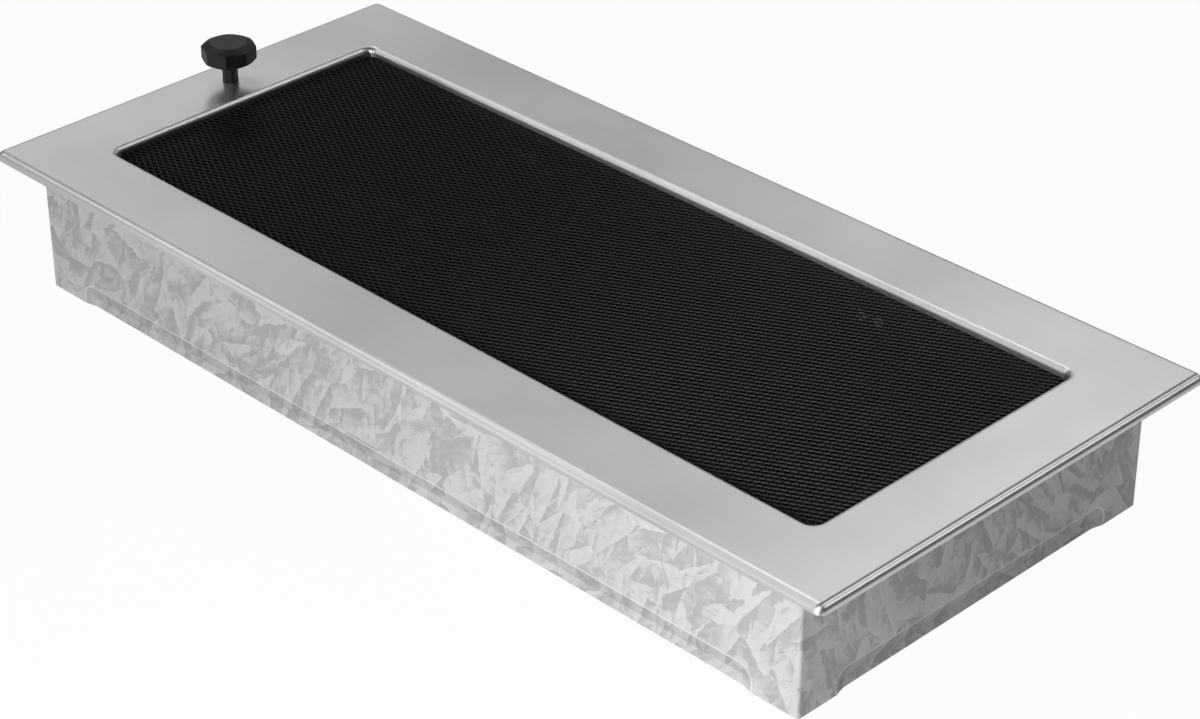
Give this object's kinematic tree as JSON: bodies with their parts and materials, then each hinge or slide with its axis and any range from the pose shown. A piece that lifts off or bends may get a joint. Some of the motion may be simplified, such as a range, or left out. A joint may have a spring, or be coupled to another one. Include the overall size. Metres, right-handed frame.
{
  "type": "fireplace vent grille",
  "caption": "Brushed steel fireplace vent grille with black mesh, pull knob, turning louvre blades and a galvanised wall box.",
  "frame": {"origin": "centre of the rear rim's rectangle, on the plane that the wall box stands on", "axes": "+X along the long side, +Y along the short side, +Z out of the front frame towards the room"},
  "size_m": [0.37, 0.17, 0.0636],
  "materials": {
    "brushed_stainless": "brushed",
    "galvanised_sheet": "satin",
    "black_steel": "matte",
    "zinc_steel": "satin",
    "spring_steel": "satin",
    "black_plastic": "matte"
  },
  "bodies": {
    "grille": {"front_frame": "brushed_stainless", "wall_box": "galvanised_sheet", "mesh_panel": "black_steel", "side_rail_near": "black_steel", "side_rail_far": "black_steel", "end_plate_left": "black_steel", "end_plate_right": "black_steel", "knob_bush": "zinc_steel", "spring_clip_near_left": "spring_steel", "spring_clip_near_right": "spring_steel", "spring_clip_far_left": "spring_steel", "spring_clip_far_right": "spring_steel", "clip_rivets": "zinc_steel", "cassette_rivets": "zinc_steel", "weld_studs": "zinc_steel", "stud_nuts": "zinc_steel"},
    "louvre_1": {"blade_1": "black_steel", "pivot_rod_1": "zinc_steel", "crank_1": "zinc_steel"},
    "louvre_2": {"blade_2": "black_steel", "pivot_rod_2": "zinc_steel", "crank_2": "zinc_steel"},
    "louvre_3": {"blade_3": "black_steel", "pivot_rod_3": "zinc_steel", "crank_3": "zinc_steel"},
    "louvre_4": {"blade_4": "black_steel", "pivot_rod_4": "zinc_steel", "crank_4": "zinc_steel"},
    "louvre_5": {"blade_5": "black_steel", "pivot_rod_5": "zinc_steel", "crank_5": "zinc_steel"},
    "louvre_6": {"blade_6": "black_steel", "pivot_rod_6": "zinc_steel", "crank_6": "zinc_steel"},
    "link": {"link_bar": "zinc_steel", "drive_stud": "zinc_steel"},
    "pull": {"knob": "black_plastic", "drive_arm": "zinc_steel", "arm_screw": "zinc_steel"}
  },
  "joints": [
    {"name": "louvre_1_turn", "type": "hinge", "parent": "grille", "child": "louvre_1", "pos_m": [0, -0.04185, 0.0342], "axis": [1, 0, 0], "range_deg": [0, 72]},
    {"name": "louvre_2_turn", "type": "hinge", "parent": "grille", "child": "louvre_2", "pos_m": [0, -0.02511, 0.0342], "axis": [1, 0, 0], "range_deg": [0, 72]},
    {"name": "louvre_3_turn", "type": "hinge", "parent": "grille", "child": "louvre_3", "pos_m": [0, -0.00837, 0.0342], "axis": [1, 0, 0], "range_deg": [0, 72]},
    {"name": "louvre_4_turn", "type": "hinge", "parent": "grille", "child": "louvre_4", "pos_m": [0, 0.00837, 0.0342], "axis": [1, 0, 0], "range_deg": [0, 72]},
    {"name": "louvre_5_turn", "type": "hinge", "parent": "grille", "child": "louvre_5", "pos_m": [0, 0.02511, 0.0342], "axis": [1, 0, 0], "range_deg": [0, 72]},
    {"name": "louvre_6_turn", "type": "hinge", "parent": "grille", "child": "louvre_6", "pos_m": [0, 0.04185, 0.0342], "axis": [1, 0, 0], "range_deg": [0, 72]},
    {"name": "link_turn", "type": "hinge", "parent": "louvre_3", "child": "link", "pos_m": [-0.156, -0.0019, 0.0295], "axis": [1, 0, 0], "range_deg": [-72, 0]},
    {"name": "knob_pull", "type": "slide", "parent": "grille", "child": "pull", "axis": [0, 0, 1], "range_m": [0, 0.00941]}
  ],
  "couplings": [
    {"joint": "louvre_1_turn", "follows": "louvre_3_turn", "ratio": 1},
    {"joint": "louvre_2_turn", "follows": "louvre_3_turn", "ratio": 1},
    {"joint": "louvre_4_turn", "follows": "louvre_3_turn", "ratio": 1},
    {"joint": "louvre_5_turn", "follows": "louvre_3_turn", "ratio": 1},
    {"joint": "louvre_6_turn", "follows": "louvre_3_turn", "ratio": 1},
    {"joint": "link_turn", "follows": "louvre_3_turn", "ratio": -1},
    {"joint": "knob_pull", "follows": "louvre_3_turn", "m_per_rad": 0.0074839}
  ]
}
